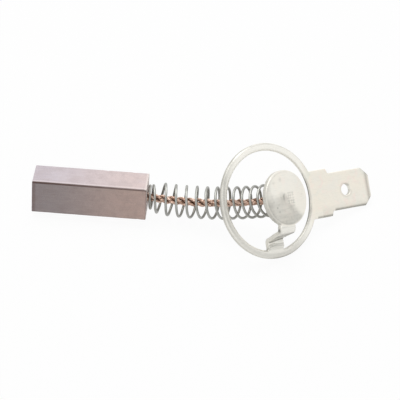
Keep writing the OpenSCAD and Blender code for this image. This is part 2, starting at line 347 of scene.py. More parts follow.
def makeStudio(look):
    makeLamp("keyLight", look["keyPower"], look["keySize"], look["keyAt"])
    makeLamp("fillLight", look["fillPower"], look["fillSize"], look["fillAt"])

    world = bpy.data.worlds.new("studio")
    world.use_nodes = True
    bpy.context.scene.world = world
    sky = Wiring(world.node_tree)
    plain = look["skyForDiffuse"]
    background = sky.tree.nodes["Background"]
    background.inputs["Color"].default_value = (1, 1, 1, 1)
    sky.link(sky.larger(*sky.seenBy()) * (1 - plain) + plain, background.inputs["Strength"])

    half = look["floorHalf"]
    corners = [(-half, -half, 0), (half, -half, 0), (half, half, 0), (-half, half, 0)]
    floor = makePiece("floor", corners, [(0, 1, 2, 3)], False)
    paint = Finish("paleFloor", Base_Color=look["floorColour"], Roughness=0.9, Specular_IOR_Level=0.0)
    camera, mirrored = paint.seenBy()
    white = paint.node("ShaderNodeEmission", None, {"Color": (1, 1, 1, 1), "Strength": 1.0})
    share = paint.larger(camera * (1 - look["floorShadow"]), mirrored)
    shaded = Signal(paint, paint.shader.outputs[0])
    mixed = paint.node("ShaderNodeMixShader", None, {0: share, 1: shaded, 2: white})
    paint.link(mixed, paint.tree.nodes["Material Output"].inputs["Surface"])
    paint.put(floor)


bpy.context.scene.view_settings.view_transform = "Standard"
makeCamera(cameraLook)
makeStudio(lightLook)
print("camera and light: done")


terminalLook = {
    "voxel": 0.09,
    "waviness": 0.022,  # height of the sheet's slow unevenness
    "tinHeight": 0.006,  # height of the plating's own lumps
    "weldAt": (0.1, -0.2),  # on the disc, from its centre
    "weldDent": 0.07,
    "creaseDepth": 0.05,
    "creasePitch": 0.36,
    "discSpread": (0.2, 0.32),  # how far the disc is pressed out of round, each way
    "footShift": 0.2,
    "neckSpread": 0.17,
    "printPitch": 0.42,
    "printHeight": 0.035,
    "smearHeight": 0.03,
    "roughness": 0.32,
    "grainHeight": 0.012,
    # how dark the tin is painted, 0 to 1: mostly painted shade and painted darker reflection on walls, edges, the
    # strap and the lower disc, with the weld's smear and print
    "ringFarDark": 0.33,
    "ringLip": 0.3,  # painted shade along the ring's rolled edges
    "ringWallNearTab": 0.97,
    "ringWall": 0.35,
    "tabEdge": 0.66,
    "tabTip": 0.46,
    "tabCorner": 0.40,
    "holeRim": 0.35,
    "discDarkReflection": 0.31,
    "discSmear": 0.28,
    "discPrint": 0.3,
    "discRim": 0.34,
    "strapSlope": 0.52,
    "strapBend": 0.4,
    "strapFoot": 0.20,
    "strapSheared": 0.16,
    "neckSpot": 0.85,
    "darkest": 0.97,
    # spots on the disc, from its own centre: across, up, width, height, how dark
    "smearSpots": [
        (0.6, -1.6, 0.4, 0.4, 0.16),
        (-1.9, 0.1, 0.5, 0.3, 0.1),
    ],
    "rimSpots": [
        (-0.78, 3.05, 0.28, 0.35, 0.24),
        (-2.4, 2.7, 0.5, 0.3, 0.12),
        (-2.35, -1.35, 0.13, 0.13, 0.45),
        (-2.0, -2.05, 0.12, 0.12, 0.35),
        (-2.4, -3.85, 0.16, 0.16, 0.4),
    ],
    # colours
    "warm": (0.89, 0.84, 0.74, 1),
    "pale": (0.86, 0.83, 0.75, 1),
    "pink": (0.91, 0.80, 0.72, 1),
    "green": (0.80, 0.81, 0.73, 1),
    "shearedPale": (0.93, 0.91, 0.85, 1),
    "shearedDark": (0.80, 0.78, 0.71, 1),
    "cool": (0.955, 0.94, 0.88, 1),
    # the colour of painted shade and painted darker reflection, and of the weld's smear
    "shadeAndDull": (0.24, 0.238, 0.215, 1),
}


def onDisc(points):  # seen from the disc's own centre
    turn = turned("Y", ts["discTurn"])
    return (points - [ts["discShift"], 0, ts["discRise"]]) @ turn


def spot(x, y, atX, atY, sizeX, sizeY):  # 1 at a place, fading out round it
    return np.exp(-((x - atX) / sizeX) ** 2 - ((y - atY) / sizeY) ** 2)


def spots(x, y, rows):
    return sum(strength * spot(x, y, *at) for *at, strength in rows)


def band(x, at, width):  # 1 along a line, fading out beside it
    return np.exp(-((x - at) / width) ** 2)


def electrodePrint(d, pitch):  # the fine grid a welding electrode leaves on the disc
    x, y = d[:, 0], d[:, 1]
    grid = np.abs(np.sin(math.pi * (x - 0.1) / pitch) * np.sin(math.pi * (y + 0.1) / pitch))
    return within(x, 0.35, 1.6, 0.15) * within(y, -0.9, 0.8, 0.15) * (grid ** 2 * 2 - 1)


def ringTone(p, n, onStrap, look):  # darker away from the tab, with painted darker reflection in fine lines along the rolled edges and painted shade on the wall of the opening
    x, y, z = p.T
    inner, outer = ts["ringInner"], ts["ringOuter"]
    ring = np.hypot(x, y)
    angle = np.degrees(np.arctan2(y, x)) % 360
    onRing = (np.abs(z) < 0.6) & (ring < outer + 0.25) & ~onStrap
    outward = (n[:, 0] * x + n[:, 1] * y) / np.maximum(ring, 1)
    nearTab = ease((np.cos(np.radians(angle + 8)) - 0.78) / 0.16)

    across = 0.3 + 0.7 * ease((ring - inner - 0.2) / 0.45) - 0.3 * band(ring, outer - 0.13, 0.1)
    tone = look["ringFarDark"] * within(angle, 165, 285, 42) * across
    # painted darker reflection in lines along the rolled edges, each over its own part of the way round, and
    # painted shade inside the inner edge beside the tab
    tone += 0.4 * band(ring, outer - 0.07, 0.15) * within(angle, 270, 318, 14)
    tone += 0.22 * band(ring, outer - 0.2, 0.1) * within(angle, 30, 95, 15)
    tone += 0.3 * band(ring, outer - 0.2, 0.22) * within(angle, 132, 150, 12)
    tone += 0.16 * band(ring, outer - 0.45, 0.14) * within(angle, 158, 202, 14)
    tone += 0.25 * band(ring, outer, 0.2) * within(angle, 104, 128, 10)
    tone += 0.22 * ease(outward * 2.5 - 0.3) * within(angle, 85, 182, 15)
    besideTab = np.maximum(within(angle, 0, 100, 15), within(angle, 320, 360, 15))
    tone += 0.34 * band(ring, inner + 0.07, 0.13) * besideTab
    tone += 0.26 * ease((inner + 0.5 - ring) / 0.3) * within(angle, 295, 338, 14)
    # painted shade on the wall of the opening
    wall = np.maximum(look["ringWallNearTab"] * nearTab * ease((0.13 - z) / 0.1),
                      look["ringWall"] * within(angle, 285, 340, 12))
    tone = np.where((outward < -0.5) & (ring < inner + 0.3), wall, tone)
    # painted shade along the inner rolled edge beside the tab
    tone += look["ringLip"] * nearTab * band(ring, inner + 0.1, 0.13) * (z > 0.25)
    return tone * onRing


def tabTone(p, n, look):  # painted darker reflection in a line along the lower sheared edges, and painted shade across the ground tip, at its corners and round the rim of the hole
    x, y = p[:, 0], p[:, 1]
    edge = ts["tabShift"] - ts["tabHalf"] + 0.16
    shoulderEdge = ts["tabShift"] - ts["shoulderHalf"] + 0.19
    shoulder, tip = ts["shoulderAt"], ts["tabTip"]
    upward = n[:, 2] > -0.2
    tone = look["tabEdge"] * band(y, edge, 0.19) * within(x, shoulder + 0.4, tip - 1.3, 0.2) * upward
    tone += look["tabEdge"] * band(y, shoulderEdge, 0.19) * within(x, 9.0, shoulder - 0.2, 0.2) * upward
    tone += 0.10 * ease((-2.2 - y) / 1.0) * (x > 10)
    tone += look["tabTip"] * band(x, tip - 0.59, 0.34) * within(y, -2.9, 2.0, 0.4)
    lowCorner = x - (tip - 1.25) + (edge - y) * 0.9
    nearTip = within(x, tip - 1.45, tip - 0.25, 0.2) * (y < -2.2)
    tone += look["tabCorner"] * band(lowCorner, 0.1, 0.3) * nearTip
    tone += 0.25 * band(x + y, tip + 1.3, 0.22) * (x > tip - 2.05) * (y > 1.2)

    fromHoleX, fromHoleY = x - ts["holeAt"], y - ts["tabShift"]
    hole = np.hypot(fromHoleX, fromHoleY)
    about = np.degrees(np.arctan2(fromHoleY, fromHoleX)) % 360
    # painted shade round the rim of the hole
    lip = look["holeRim"] * within(about, 45, 105, 18) + 0.22 * within(about, 285, 345, 15)
    tone += 0.16 * band(hole, ts["holeRadius"] + 0.22, 0.13) * within(about, 120, 330, 30)
    return tone + band(hole, ts["holeRadius"] + 0.02, 0.14) * lip


def discTone(p, n, d, flat, onStrap, look):  # painted darker reflection below the weld and on the rounded rim, with the weld's smear and spots round it
    u, v = d[:, 0], d[:, 1]
    radius = np.hypot(u, v)
    # painted darker reflection over the lower part of the disc
    edge = 0.45 - 1.3 * np.clip(u - 0.2, 0, 3) + 0.35 * ripples(d, 2.2, 13)
    lower = ease((edge - v) / 2.0 + 0.42)
    streaks = 1 + 0.14 * ripples(np.column_stack([u * 0.35, v * 1.6, 0 * u]), 1.0, 14)
    disc = look["discDarkReflection"] * lower * (1 - 0.25 * ease((u - 1.0) / 2)) * streaks
    disc += 0.11 * lower * ease((-2.2 - v) / 1.2) - 0.06 * (1 - lower)
    smear = spot(u, v, -0.5, 0.2, 0.72, 0.5) * (1 + 0.4 * np.sin(9 * u + v))
    disc += look["discSmear"] * smear * streaks
    disc += spots(u, v, look["smearSpots"])
    disc *= 1 - 0.85 * spot(u, v, 1.0, -0.75, 0.55, 0.4)
    disc += spots(u, v, look["rimSpots"])
    grid = electrodePrint(d, look["printPitch"])
    disc += look["discPrint"] * ease(-1.6 * grid - 0.35 + 0.5 * ripples(d, 0.9, 15))
    disc += 0.14 * ease((-2.7 - u) / 0.9) + 0.06 * ease((u - 1.4) / 1.2)
    disc += 0.16 * band(radius, ts["discRadius"] - 0.3, 0.12) * (u < 1)

    rim = (np.abs(d[:, 2]) < 0.6) & (radius < ts["discRadius"] + 0.2) & ~onStrap & (p[:, 2] > 3)
    turnedOut = -(n @ turned("Y", ts["discTurn"])[:, 0])
    onEdge = band(turnedOut, 0.45, 0.3) + ease((turnedOut - 0.55) / 0.2)
    return flat * disc + rim * look["discRim"] * onEdge


def strapTone(p, n, sheared, look):  # painted shade on the slope, under the upper bend and on the foot, with painted shade in the foot's creases and a painted highlight on one crest
    x, y, z = p.T
    slope = ease((-n[:, 1] - 0.35) / 0.4) * within(z, 0.5, 3.7, 0.3)
    bend = band(n[:, 2], 0.42, 0.22) * (z > 2.8) * (n[:, 1] < -0.4)
    strap = look["strapSlope"] * slope + look["strapBend"] * bend
    foot = ease((1.0 - z) / 0.5) * (n[:, 2] > 0.2)
    # painted shade in the creases, with a painted highlight on one crest
    creases = 0.28 * band(y, -7.1, 0.1) + 0.16 * band(y, -7.4, 0.09) - 0.2 * band(y, -6.82, 0.12)
    strap += foot * (look["strapFoot"] + creases + 0.4 * ease((y + 6.6) / 0.3))
    strap += 0.09 * ease((z - 3) / 0.5) + 0.2 * band(y, -4.55, 0.12) * (z > 3)
    strap = strap * (1 - sheared) + look["strapSheared"] * sheared
    # dark spots at the foot's lower left and at the neck's left edge
    strap += 0.4 * spot(x, y, -2.0, -7.75, 0.35, 0.35) * (z < 1.2)
    neckSpotDistance = np.linalg.norm(p - [-2.0, -4.95, 4.45], axis=1)
    return strap + look["neckSpot"] * band(neckSpotDistance, 0, 0.32)


def makeTerminal(look):
    # the part's own sheet, remeshed finely enough to carry tones and relief
    node = frame["nodes"]["terminal"]
    mesh = node.data.copy()
    co = np.empty(len(mesh.vertices) * 3)
    mesh.vertices.foreach_get("co", co)
    mesh.vertices.foreach_set("co", terminal.into(co.reshape(-1, 3)).ravel())
    piece = bpy.data.objects.new("terminalSheet", mesh)
    bpy.context.scene.collection.objects.link(piece)
    weld = piece.modifiers.new("weld", "WELD")
    weld.merge_threshold = 0.0005
    remesh = piece.modifiers.new("remesh", "REMESH")
    remesh.mode = "VOXEL"
    remesh.voxel_size = look["voxel"]
    remesh.use_smooth_shade = True
    bpy.context.view_layer.update()
    graph = bpy.context.evaluated_depsgraph_get()
    mesh = bpy.data.meshes.new_from_object(piece.evaluated_get(graph))
    piece.modifiers.clear()
    piece.data = mesh
    mesh.materials.clear()
    mesh.name = "terminalSheet"

    count = len(mesh.vertices)
    co = np.empty(count * 3)
    mesh.vertices.foreach_get("co", co)
    p = co.reshape(-1, 3)
    normals = np.empty(count * 3)
    mesh.vertex_normals.foreach_get("vector", normals)
    n = normals.reshape(-1, 3)

    d = onDisc(p)
    radius = np.hypot(d[:, 0], d[:, 1])
    inDisc = (np.abs(d[:, 2]) < 0.6) & (radius < ts["discRadius"] + 0.1)
    front = ease((d[:, 2] - 0.1) / 0.2) * inDisc
    flat = front * ease((ts["discRadius"] - radius) / 0.4)
    onStrap = (np.abs(p[:, 0] - ts["strapShift"]) < 2.4) & (p[:, 1] < -3.6) & (p[:, 1] > -7.95) & ~inDisc
    onWay = np.where(onStrap, np.abs(n[:, 0]), np.hypot(n[:, 0], n[:, 1]))
    sheared = ease((onWay - 0.45) / 0.4)
    # painted shade and painted darker reflection on walls, edges, strap and lower disc, with the weld's smear and
    # print
    dark = ringTone(p, n, onStrap, look) + tabTone(p, n, look)
    dark += discTone(p, n, d, flat, onStrap, look) + strapTone(p, n, sheared, look) * onStrap
    dark = np.clip(dark, 0, look["darkest"])

    move = look["waviness"] * ripples(p, 5.5, 11) + look["tinHeight"] * ripples(p, 0.9, 12)
    # the weld that holds the pigtail shows through as a shallow dent with the electrode's print
    w = d[:, :2] - look["weldAt"]
    move -= flat * look["weldDent"] * spot(w[:, 0], w[:, 1], 0, 0, 1.1, 1.1)
    move += flat * look["printHeight"] * electrodePrint(d, look["printPitch"])
    smear = spot(w[:, 0], w[:, 1], -0.6, -0.1, 0.45, 0.7)
    move += flat * look["smearHeight"] * smear * np.sin(w[:, 0] * 9 + w[:, 1] * 3)
    # creases where the strap's foot was bent
    foot = onStrap * within(p[:, 1], -7.6, -6.6, 0.2) * (n[:, 2] > 0.1)
    wavy = p[:, 1] + 0.08 * np.sin(2.3 * p[:, 0])
    move += foot * look["creaseDepth"] * np.sin(wavy * 2 * math.pi / look["creasePitch"] - 1.2)
    p = p + n * (move * (1 - 0.5 * sheared))[:, None]

    # the press left the disc a little wider one way, and the strap's two ends a little to one side
    left, right = look["discSpread"]
    toLeft = np.clip(-d[:, 0] / ts["discRadius"], 0, 1.1) ** 2
    spread = inDisc * (right * ease((d[:, 0] + 1.5) / 5) - left * toLeft)
    p = p + spread[:, None] * turned("Y", ts["discTurn"])[:, 0]
    rise = ease((p[:, 2] - 0.8) / 2.2)
    side = np.clip((p[:, 0] - ts["strapShift"]) / ts["strapHalf"], -1, 1)
    shift = (1 - rise) * look["footShift"] * ease((p[:, 1] + 7.95) / 0.4)
    shift += rise * (0.03 + look["neckSpread"] * side)
    p[:, 0] += shift * onStrap * ease((-4.2 - p[:, 1]) / 0.3)

    mesh.vertices.foreach_set("co", terminal.out(p).ravel())
    mesh.update()
    addNumbers(piece, "sheared", sheared)
    addNumbers(piece, "dark", dark)
    addNumbers(piece, "cool", np.maximum(ease((8.4 - p[:, 0]) / 1.6) * (1 - 0.5 * inDisc), 0))
    print("terminal:", count, "points,", len(mesh.polygons), "faces")
    return piece


def tinnedSheet(look):
    f = Finish("tinnedSheet", Metallic=0.8, IOR=1.5)
    x, y, z = f.along(terminal)
    sheared, dark, cool = f.number("sheared"), f.number("dark"), f.number("cool")
    clouds = f.noise(0.32, 3, 0.55)
    patches = f.noise(0.7, 2, 0.5, distortion=0.6)
    elsewhere = f.noise(0.45, 2, 0.5, place=f.joined(x + 20, y, z))
    grain = f.noise(9, 4, 0.6)
    rolled = f.noise(1.0, 3, 0.6, place=f.joined(x * 0.9, y * 7, z))
    face = f.colour(f.ramp(clouds, 0.35, 0.65), look["warm"], look["pale"])
    face = f.colour(f.ramp(patches, 0.52, 0.68, (0, 0.6)), face, look["pink"])
    face = f.colour(f.ramp(elsewhere, 0.55, 0.7, (0, 0.5)), face, look["green"])
    face = f.colour(cool * 0.85, face, look["cool"])
    edge = f.colour(f.noise(3, 3, 0.6), look["shearedPale"], look["shearedDark"])
    base = f.colour(sheared, face, edge)
    # the dark number is mostly painted shade and painted darker reflection; it is mixed with the roll marks and
    # grain towards one dark colour
    uneven = dark * (0.8 + 0.4 * f.noise(2.2, 3, 0.6))
    shadeAndDull = uneven + f.ramp(rolled, 0.5, 0.75, (0, 0.08)) + f.ramp(grain, 0.55, 0.8, (0, 0.08))
    base = f.colour(shadeAndDull, base, look["shadeAndDull"])
    rough = look["roughness"] + grain * 0.14 + sheared * 0.15 + dark * 0.2
    pits = f.ramp(f.cells(2.2), 0.10, 0.03)
    height = grain * 0.5 + rolled * 0.5 - pits * 0.8
    f.feed(Base_Color=base, Roughness=rough, Normal=f.bump(height, look["grainHeight"], 0.6))
    return f


terminalPiece = makeTerminal(terminalLook)
tinnedSheet(terminalLook).put(terminalPiece)
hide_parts("terminal")
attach(terminalPiece, "holder_side")


springLook = {
    "wire": 0.45,
    "wireShown": 0.42,  # the drawn wire is a little under its nominal size
    "outer": 5.45,
    "firstOuter": 4.1,
    "openingTurns": 1.4,
    "turns": 15.2,
    "closedTurns": 1.2,
    "startAngle": 268,
    "crowding": 0.02,  # how much wider the coils stand on the block's side
    "squareShare": 0.1,  # share of each end over which the coils turn square
    "seatGap": 0.02,
    "waver": 0.018,  # how far the coils stray from a true screw
    "steps": 52,  # rings for each turn
    "sides": 14,
    "innerShade": 0.55,  # on the side of the wire that faces the copper
    "roughness": 0.36,
    "grainHeight": 0.008,
    # colours
    "pale": (0.42, 0.42, 0.395, 1),
    "grey": (0.31, 0.31, 0.285, 1),
    "drawn": (0.50, 0.50, 0.475, 1),
    "shaded": (0.15, 0.135, 0.11, 1),
    "specks": (0.16, 0.15, 0.12, 1),
}
pigtailLook = {
    "across": 1.22,
    "slack": 0.22,  # how much looser the strands lie towards the block
    "lay": 3.95,
    "root": 4.0,
    "rootShown": 0.9,
    "weldWidth": 2.0,
    "weldHeight": 0.45,
    "strands": 3,
    "wires": 11,  # fine wires round each strand
    "wireLay": 1.9,
    "strandStray": 0.10,  # how unevenly the strands lie
    "wireStray": (9, 7),  # degrees: each wire's own, and how far it wanders
    "liftStray": 0.10,
    "crush": 0.35,  # how far the strands are pressed together in the weld
    "seed": 7,
    "steps": 26,  # rings for each lay of the fine wires
    "sides": 6,
    "roughness": 0.34,
    "grainHeight": 0.006,
    # colours
    "dark": (0.30, 0.17, 0.105, 1),
    "bright": (0.88, 0.63, 0.51, 1),
    "clouds": (0.96, 0.78, 0.67, 1),
    "stains": (0.22, 0.10, 0.045, 1),
    # painted shade between the wires
    "gapShade": (0.17, 0.075, 0.035, 1),
}
reach = discSeat[0]


def curve(t, a, aWay, b, bWay):
    t = np.asarray(t, float)[:, None]
    s, c = t * t, t * t * t
    return (2 * c - 3 * s + 1) * a + (c - 2 * s + t) * aWay + (3 * s - 2 * c) * b + (c - s) * bWay


def curveWay(t, a, aWay, b, bWay):
    t = np.asarray(t, float)[:, None]
    s = t * t
    return unit(6 * (s - t) * a + (3 * s - 4 * t + 1) * aWay + 6 * (t - s) * b + (3 * s - 2 * t) * bWay)


def roundWay(ways, degrees):  # unit vectors that turn round a centre line
    side = unit(np.cross([0, 0, 1.0], ways))
    a = np.radians(degrees)[:, None]
    return -np.sin(a) * side + np.cos(a) * np.cross(ways, side)


# both leave the block nearly straight and bend round to meet the disc squarely
leaving = np.array([1.1 * reach, 0.5, -3.1])
meeting = reach * discOut


def makeSpring(look):
    start = np.array([look["wire"] / 2 + look["seatGap"], 0, 0])
    end = discSeat - discOut * (look["wire"] / 2 + look["seatGap"])
    line = (start, leaving, end, meeting)
    turn = np.linspace(0, look["turns"], int(look["turns"] * look["steps"]) + 1)
    closed, pitch, crowd = look["closedTurns"], look["wire"] + look["seatGap"], look["crowding"]
    closedShare = closed * pitch / reach
    opened = (turn - closed) / (look["turns"] - 2 * closed)
    middle = closedShare + (1 - 2 * closedShare) * opened * (1 + crowd - crowd * opened)
    left = look["turns"] - turn
    share = np.where(left < closed, 1 - left * pitch / reach, middle)
    share = np.where(turn < closed, turn * pitch / reach, share)
    atBlock = (1 - ease(share / look["squareShare"]))[:, None]
    atDisc = (1 - ease((1 - share) / look["squareShare"]))[:, None]
    ways = curveWay(share, *line) * (1 - atBlock - atDisc)
    ways = unit(ways + atBlock * [1.0, 0, 0] + atDisc * discOut)
    outs = roundWay(ways, look["startAngle"] + 360 * turn)
    firstR, coilR = (look["firstOuter"] - look["wire"]) / 2, (look["outer"] - look["wire"]) / 2
    radius = firstR + (coilR - firstR) * ease((turn - 0.75) / look["openingTurns"])
    centres = curve(share, *line) + radius[:, None] * outs
    stray = np.stack([ripples(centres, 3, seed) for seed in (1, 2, 3)], 1)
    free = within(turn, 1.5, look["turns"] - 2.2, 1)[:, None]
    centres = centres + look["waver"] * stray * free
    rings = sweptRings(centres, outs, look["wireShown"] / 2, look["sides"])
    # the cut ends are slightly rounded
    for ring in (0, -1):
        rings[ring] = centres[ring] + (rings[ring] - centres[ring]) * 0.8
    piece = makePiece("springCoil", brush.out(rings.reshape(-1, 3)), skinned(rings))
    length = np.concatenate([[0], np.cumsum(np.linalg.norm(np.diff(centres, axis=0), axis=1))])
    addNumbers(piece, "wireRun", np.repeat(length, look["sides"]))
    aside = np.arange(look["sides"]) / look["sides"]
    addNumbers(piece, "wireSide", np.tile(aside, len(centres)))
    inside = np.tile(ease(0.2 - np.cos(2 * math.pi * aside)), len(centres))
    toBlock = ease(0.3 - 1.6 * (rings - centres[:, None])[..., 0].ravel() / look["wire"])
    seated = np.repeat(ease((1.25 - turn) / 0.3), look["sides"])
    addNumbers(piece, "shaded", np.maximum(inside * look["innerShade"], toBlock * seated))
    print("spring:", len(piece.data.polygons), "faces")
    return piece


def springSteel(look):
    f = Finish("springSteel", Metallic=0.9, IOR=1.5)
    turn = f.number("wireSide") * (2 * math.pi)
    sine, cosine = (f.node("ShaderNodeMath", {"operation": how}, {0: turn}) for how in ("SINE", "COSINE"))
    drawn = f.noise(1.0, 3, 0.6, place=f.joined(f.number("wireRun") * 0.25, sine * 3, cosine * 3))
    clouds = f.noise(0.8, 3, 0.5)
    specks = f.ramp(f.noise(7, 3, 0.6), 0.6, 0.75)
    base = f.colour(f.ramp(clouds, 0.35, 0.7), look["pale"], look["grey"])
    base = f.colour(f.ramp(drawn, 0.45, 0.75, (0, 0.5)), base, look["drawn"])
    base = f.colour(f.number("shaded"), base, look["shaded"])
    base = f.colour(specks * 0.4, base, look["specks"])
    rough = look["roughness"] + drawn * 0.18 + specks * 0.15
    f.feed(Base_Color=base, Roughness=rough, Normal=f.bump(drawn, look["grainHeight"], 0.5))
    return f


def pigtailLine(s, look):  # points and ways of the cord's middle, s millimetres out from the block
    end = discSeat - discOut * (look["weldHeight"] / 2)
    t = np.clip(s / reach, 0, 1)
    line = (np.zeros(3), leaving, end, meeting)
    centres = curve(t, *line)
    ways = curveWay(t, *line)
    inside = s < 0
    centres[inside] = np.stack([s[inside], 0 * s[inside], 0 * s[inside]], 1)
    ways[inside] = [1.0, 0, 0]
    return centres, ways


def makePigtail(look):
    strandD = look["across"] / (1 + 1 / math.sin(math.pi / look["strands"]))
    layR = (look["across"] - strandD) / 2
    wireR = 0.5 * strandD / (1 + 1 / math.sin(math.pi / look["wires"])) * 1.06
    ringR = strandD / 2 - wireR
    rng = np.random.default_rng(look["seed"])
    count = int((reach + look["rootShown"]) / look["wireLay"] * look["steps"]) + 1
    s = np.linspace(-look["rootShown"], reach, count)
    centres, ways = pigtailLine(s, look)
    points, faces, tone, gapShade = [], [], [], []

    def add(rings, shade, hidden):
        faces.extend(skinned(rings, sum(len(q) for q in points)))
        points.append(rings.reshape(-1, 3))
        tone.append(np.full(rings.size // 3, shade))
        gapShade.append(np.broadcast_to(hidden, rings.shape[:2]).ravel())

    def sweep(middle, outs, radii, sides, shade, about=None):
        rings = sweptRings(middle, outs, radii, sides)
        # hidden is painted shade, deepest towards the cord's middle
        hidden = 0.5
        if about is not None:
            away = np.linalg.norm(rings - about[:, None], axis=2) / (look["across"] / 2)
            hidden = ease((0.86 - away) / 0.34)
        add(rings, shade, hidden)

    def wander(y, z, wavelength, seed):  # a slow random change along the cord
        return ripples(np.stack([s, s * 0 + y, s * 0 + z], 1), wavelength, seed)

    ownStray, wandering = look["wireStray"]
    crushed = look["crush"] * ease((s - reach + 0.9) / 0.9)
    slack = look["slack"] * within(s, 1.5, 8, 2)
    for k in range(look["strands"]):
        loose = 1 + look["strandStray"] * wander(0, k * 9, 5, 20 + k) + slack
        outs = roundWay(ways, 360 * (s / look["lay"] + k / look["strands"]))
        strand = centres + (layR * loose * (1 - crushed))[:, None] * outs
        strandWays = unit(np.gradient(strand, axis=0))
        sweep(strand, outs, ringR * 0.86, 8, 0.0, centres)
        for w in range(look["wires"]):
            phase = 360 * w / look["wires"] + rng.uniform(-ownStray, ownStray)
            phase = phase + wandering * wander(w * 3.1, k * 5.3, 2.6, 40)
            turning = roundWay(strandWays, phase - 360 * s / look["wireLay"])
            lift = ringR * (1 + look["liftStray"] * wander(w * 7.7, k * 2.9, 1.8, 60))
            radius = wireR * rng.uniform(0.9, 1.05)
            shade = rng.uniform(0.2, 1)
            sweep(strand + lift[:, None] * turning, turning, radius, look["sides"], shade, centres)

    # the straight root in its hole
    sunk = np.linspace(-look["root"], 0.2 - look["rootShown"], 8)
    middle = np.stack([sunk, 0 * sunk, 0 * sunk], 1)
    sweep(middle, np.tile([0, 0, 1.0], (8, 1)), look["across"] / 2 * 0.97, 24, 0.3)

    # the welded end, a squeezed lump on the back of the disc
    sides, levels = 40, 9
    a = 2 * math.pi * np.arange(sides) / sides
    side = unit(np.cross([0, 0, 1.0], discOut))
    up = np.cross(discOut, side)
    about = np.cos(a)[:, None] * side + np.sin(a)[:, None] * up
    lump = []
    for level in np.linspace(0, 1, levels):
        radius = look["weldWidth"] / 2 * math.sqrt(max(0.03, 1 - (1 - level) ** 3.2))
        uneven = radius * (1 + 0.05 * np.sin(3 * a + 1) + 0.03 * np.sin(7 * a + 2 * level))
        height = look["weldHeight"] * (1 - level) + 0.02
        lump.append(discSeat - discOut * height + uneven[:, None] * about)
    add(np.array(lump), 0.1, 0.2)

    piece = makePiece("pigtailStrands", brush.out(np.concatenate(points)), faces)
    addNumbers(piece, "tone", np.concatenate(tone))
    addNumbers(piece, "gapShade", np.concatenate(gapShade))
    print("pigtail:", len(piece.data.polygons), "faces")
    return piece


def bareCopper(look):
    f = Finish("bareCopper", Metallic=0.8, IOR=1.5)
    tone, gapShade = f.number("tone"), f.number("gapShade")
    clouds = f.noise(1.2, 3, 0.6)
    stains = f.ramp(f.noise(2.2, 4, 0.6), 0.48, 0.66)
    # painted shade between the wires, made uneven, with some of the stains
    gapShadeUneven = f.ramp(f.noise(0.8, 2, 0.5), 0.40, 0.60, (0.45, 1))
    between = f.ramp(gapShade + stains * 0.3, 0.12, 0.85, (0, 0.95)) * gapShadeUneven
    base = f.colour(tone, look["dark"], look["bright"])
    base = f.colour(f.ramp(clouds, 0.45, 0.62, (0, 0.6)), base, look["clouds"])
    base = f.colour(stains * 0.7, base, look["stains"])
    base = f.colour(between, base, look["gapShade"])
    rough = look["roughness"] + stains * 0.25 + clouds * 0.1
    grain = f.noise(14, 3, 0.6)
    f.feed(Base_Color=base, Roughness=rough, Normal=f.bump(grain, look["grainHeight"], 0.4))
    return f


springPiece = makeSpring(springLook)
springSteel(springLook).put(springPiece)
pigtailPiece = makePigtail(pigtailLook)
bareCopper(pigtailLook).put(pigtailPiece)
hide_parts("coil_spring")
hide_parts("pigtail")

# Both run from the block at one end to the disc at the other.
pressWay = unit(np.array([1.0, 0, 0]) + discOut)
heldFrom, movedFrom = 1.8, 1.5  # how far the end turns reach from the disc and from the block
pressStart = discSeat - heldFrom * pressWay
pressEnd = pressStart - (pressStart @ pressWay - movedFrom) * pressWay
for piece in (springPiece, pigtailPiece):
    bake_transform(piece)


blockLook = {
    "step": 0.13,
    "cornerSteps": 4,
    "chips": 40,
    "chipSize": (0.10, 0.32),
    "chipDepth": (0.015, 0.05),
    "chipSeed": 23,
    "unevenness": 0.006,
    "roughness": 0.5,
    "grainHeight": 0.014,
    # colours
    "farEnd": (0.555, 0.50, 0.545, 1),
    "springEnd": (0.73, 0.605, 0.585, 1),
    "blotches": (0.50, 0.42, 0.42, 1),
    "pressed": (0.76, 0.68, 0.69, 1),
    "grain": (0.36, 0.28, 0.27, 1),
    # painted shade on the front and back sides, at the far end and at the spring end
    "sideShadeFar": (0.62, 0.60, 0.565, 1),
    "sideShadeNear": (0.83, 0.745, 0.68, 1),
    "flecks": (0.84, 0.66, 0.56, 1),
    "edgeLinePale": (0.92, 0.84, 0.82, 1),
    "edgeLineDark": (0.075, 0.042, 0.034, 1),
    "ends": (0.16, 0.10, 0.09, 1),
    "paler": (0.80, 0.76, 0.82, 1),
    # painted highlight along the spring end
    "rim": (0.92, 0.85, 0.80, 1),
}


def squareRing(half, corner, step, cornerSteps):  # points round a square with rounded corners
    flat = half - corner
    count = int(round(2 * flat / step))
    side = [(half, y) for y in np.linspace(-flat, flat, count + 1)]
    bends = np.linspace(0, math.pi / 2, cornerSteps + 1)[1:-1]
    bend = [(flat + corner * math.cos(b), flat + corner * math.sin(b)) for b in bends]
    points = []
    for q in range(4):
        a = q * math.pi / 2
        c, s = round(math.cos(a)), round(math.sin(a))
        turn = np.array([[c, s], [-s, c]])
        points += [np.array(p) @ turn for p in side + bend]
    return np.array(points)


